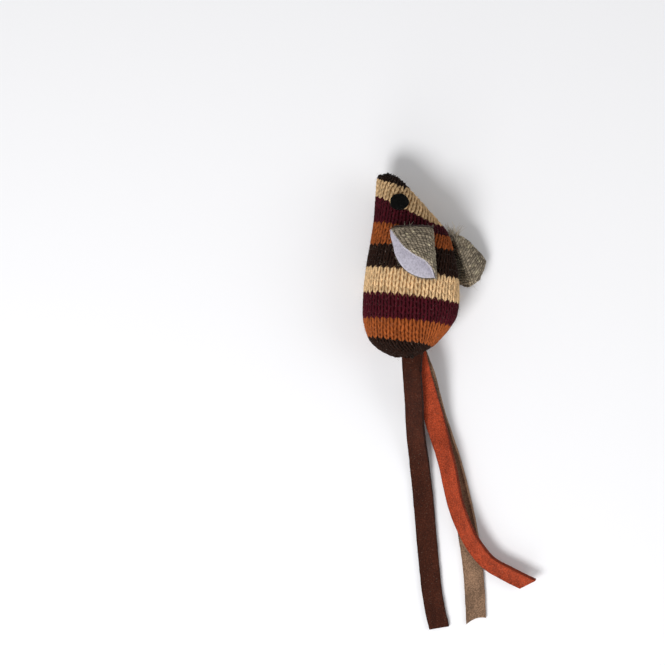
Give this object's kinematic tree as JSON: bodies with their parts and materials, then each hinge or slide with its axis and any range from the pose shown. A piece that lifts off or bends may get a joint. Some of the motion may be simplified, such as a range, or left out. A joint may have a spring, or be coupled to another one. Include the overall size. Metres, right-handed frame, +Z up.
{
  "type": "catnip mouse",
  "caption": "Stuffed knit catnip mouse lying on its side, with folded cloth ears, felt eyes and flat strip tails.",
  "frame": {"origin": "on the floor, under the middle of the toy's overall box", "axes": "+Z up with the mouse lying on its right side, +Y from the tails to the nose, +X from the belly to the back"},
  "size_m": [0.0582, 0.1508, 0.0368],
  "materials": {
    "knit": "plain knit in dark brown, cream, burgundy and rust stripes, V stitches with slight fuzz",
    "fibre_fill": "loose white polyester fibre",
    "catnip_leaf": "dried crumbled leaf",
    "thread": "twisted sewing thread",
    "eye_felt": "matt black felt",
    "ear_cloth": "coarse grey olive slub weave with frayed edge",
    "ear_lining": "smooth white brushed fleece",
    "brown_suede": "brown suede-like strip with a short nap",
    "orange_suede": "rust orange suede-like strip with a short nap",
    "tan_suede": "grey tan suede-like strip with a short nap"
  },
  "bodies": {
    "body": {"left_side_panel": "knit", "right_side_panel": "knit", "nose_filling": "fibre_fill", "catnip_filling": "catnip_leaf", "rump_filling": "fibre_fill", "belly_seam_thread": "thread", "back_seam_thread": "thread", "left_eye": "eye_felt", "right_eye": "eye_felt", "left_ear_thread": "thread", "right_ear_thread": "thread", "tail_stitch": "thread"},
    "left_ear": {"left_ear_cloth": "ear_cloth", "left_ear_lining": "ear_lining"},
    "right_ear": {"right_ear_cloth": "ear_cloth", "right_ear_lining": "ear_lining"},
    "brown_tail": {"brown_tail": "brown_suede"},
    "orange_tail": {"orange_tail": "orange_suede"},
    "tan_tail": {"tan_tail": "tan_suede"}
  },
  "joints": [
    {"name": "left_ear_flap", "type": "hinge", "parent": "body", "child": "left_ear", "pos_m": [-0.01233, 0.05768, 0.02549], "axis": [-0.9932, 0.0105, 0.1158], "range_deg": [0, 100]},
    {"name": "right_ear_flap", "type": "hinge", "parent": "body", "child": "right_ear", "pos_m": [-0.00158, 0.05498, 0.00664], "axis": [0.5104, 0.0206, 0.8597], "range_deg": [-8, 40]},
    {"name": "brown_tail_swing", "type": "hinge", "parent": "body", "child": "brown_tail", "pos_m": [-0.01195, 0.01805, 0.0151], "axis": [0, 0, 1], "range_deg": [-20, 0]},
    {"name": "orange_tail_swing", "type": "hinge", "parent": "body", "child": "orange_tail", "pos_m": [-0.01195, 0.01805, 0.0135], "axis": [0, 0, 1], "range_deg": [0, 25]},
    {"name": "tan_tail_swing", "type": "hinge", "parent": "body", "child": "tan_tail", "pos_m": [-0.01195, 0.01805, 0.0119], "axis": [0, 0, 1], "range_deg": [0, 18]}
  ]
}
